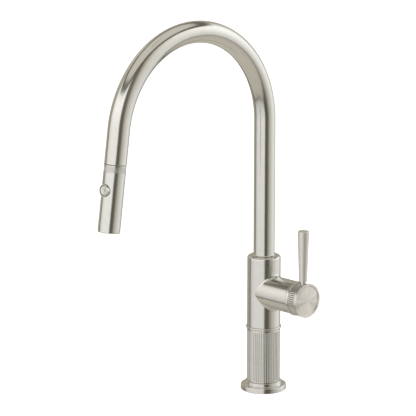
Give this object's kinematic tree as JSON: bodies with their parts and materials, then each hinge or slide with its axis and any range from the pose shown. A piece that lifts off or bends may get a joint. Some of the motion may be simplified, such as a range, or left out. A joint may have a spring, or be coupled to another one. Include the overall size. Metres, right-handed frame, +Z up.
{
  "type": "pull-down kitchen faucet",
  "caption": "High-arc kitchen faucet with a reeded column, a side lever on a boss and a docked pull-down spray head.",
  "frame": {"origin": "centre of the base flange's underside, on the deck", "axes": "+Z up, spout reaching along -Y, handle boss along +X"},
  "size_m": [0.0962, 0.2704, 0.5096],
  "materials": {
    "nickel": "warm brushed nickel",
    "brass_plain": "machined brass",
    "steel_plain": "plain stainless steel",
    "copper_tube": "drawn copper alloy tube",
    "rubber_black": "moulded rubber",
    "rubber_grey": "grey silicone",
    "plastic_light": "engineering plastic",
    "plastic_dark": "black engineering plastic",
    "plastic_grey": "grey engineering plastic",
    "ceramic_disc": "lapped alumina",
    "magnet_dark": "sintered magnet",
    "hose_braid": "braided nylon hose"
  },
  "bodies": {
    "base": {"base_flange": "nickel", "deck_gasket": "rubber_black", "reeded_sleeve": "nickel", "joint_bead": "nickel", "valve_body": "nickel", "mounting_shank": "brass_plain", "rubber_washer": "rubber_black", "steel_washer": "steel_plain", "mounting_nut": "brass_plain", "hot_inlet_tube": "copper_tube", "cold_inlet_tube": "copper_tube", "outlet_tube": "copper_tube", "cartridge_seals": "rubber_black", "cartridge_housing": "plastic_light", "fixed_disc": "ceramic_disc", "bonnet_nut": "brass_plain", "bonnet_dome": "nickel", "spout_bearing": "plastic_light", "thrust_washer": "plastic_light", "spout_grub_screw": "steel_plain"},
    "carrier": {"cartridge_carrier": "plastic_light", "carrier_pin": "steel_plain"},
    "mixing_disc": {"moving_disc": "ceramic_disc", "disc_driver": "plastic_dark"},
    "handle": {"cartridge_stem": "steel_plain", "handle_hub": "nickel", "handle_bead_ring": "nickel", "handle_reeded_ring": "nickel", "handle_cap": "nickel", "handle_set_screw": "steel_plain", "lever_stud": "nickel", "lever_arm": "nickel"},
    "spout": {"spout_tube": "nickel", "spout_collar": "nickel", "spout_foot": "brass_plain", "spout_o_rings": "rubber_black", "docking_collar": "plastic_dark", "dock_magnet": "magnet_dark", "pull_hose_upper": "hose_braid", "hose_tail_fitting": "brass_plain"},
    "hose_end": {"pull_hose_lower": "hose_braid", "hose_ferrule": "steel_plain", "hose_connector": "brass_plain", "connector_o_ring": "rubber_black"},
    "spray_head": {"head_shell": "nickel", "head_reeded_ring": "nickel", "docking_sleeve": "plastic_dark", "keeper_ring": "steel_plain", "spray_core": "plastic_grey", "swivel_clip": "steel_plain", "check_valve": "plastic_light", "button_bezel": "nickel", "spray_face": "plastic_grey", "spray_nozzles": "rubber_grey", "aerator": "plastic_light"},
    "button": {"spray_button": "nickel", "button_plunger": "brass_plain", "button_spring": "steel_plain"}
  },
  "joints": [
    {"name": "spout_swivel", "type": "hinge", "parent": "base", "child": "spout", "pos_m": [0, 0, 0.158], "axis": [0, 0, 1], "continuous": true},
    {"name": "head_pull", "type": "slide", "parent": "spout", "child": "hose_end", "axis": [0, -0.1392, -0.9903], "range_m": [0, 0.2], "stiffness_N_per_m": 2, "springref_m": -1.2, "deforming": ["pull_hose_lower"]},
    {"name": "head_swivel", "type": "hinge", "parent": "hose_end", "child": "spray_head", "pos_m": [0, -0.22569, 0.27018], "axis": [0, -0.1392, -0.9903], "continuous": true},
    {"name": "button_press", "type": "slide", "parent": "spray_head", "child": "button", "axis": [0, 0.9903, -0.1392], "range_m": [0, 0.0015], "stiffness_N_per_m": 800, "springref_m": -0.001, "deforming": ["button_spring"]},
    {"name": "handle_turn", "type": "hinge", "parent": "base", "child": "carrier", "pos_m": [0.0408, 0, 0.117], "axis": [1, 0, 0], "range_deg": [-45, 45]},
    {"name": "handle_tilt", "type": "hinge", "parent": "carrier", "child": "handle", "pos_m": [0.0408, 0, 0.117], "axis": [0, 1, 0], "range_deg": [0, 20]},
    {"name": "disc_slide", "type": "slide", "parent": "carrier", "child": "mixing_disc", "axis": [0, 0, 1], "range_m": [0, 0.00482]}
  ],
  "couplings": [
    {"joint": "disc_slide", "follows": "handle_tilt", "m_per_rad": 0.0138}
  ]
}
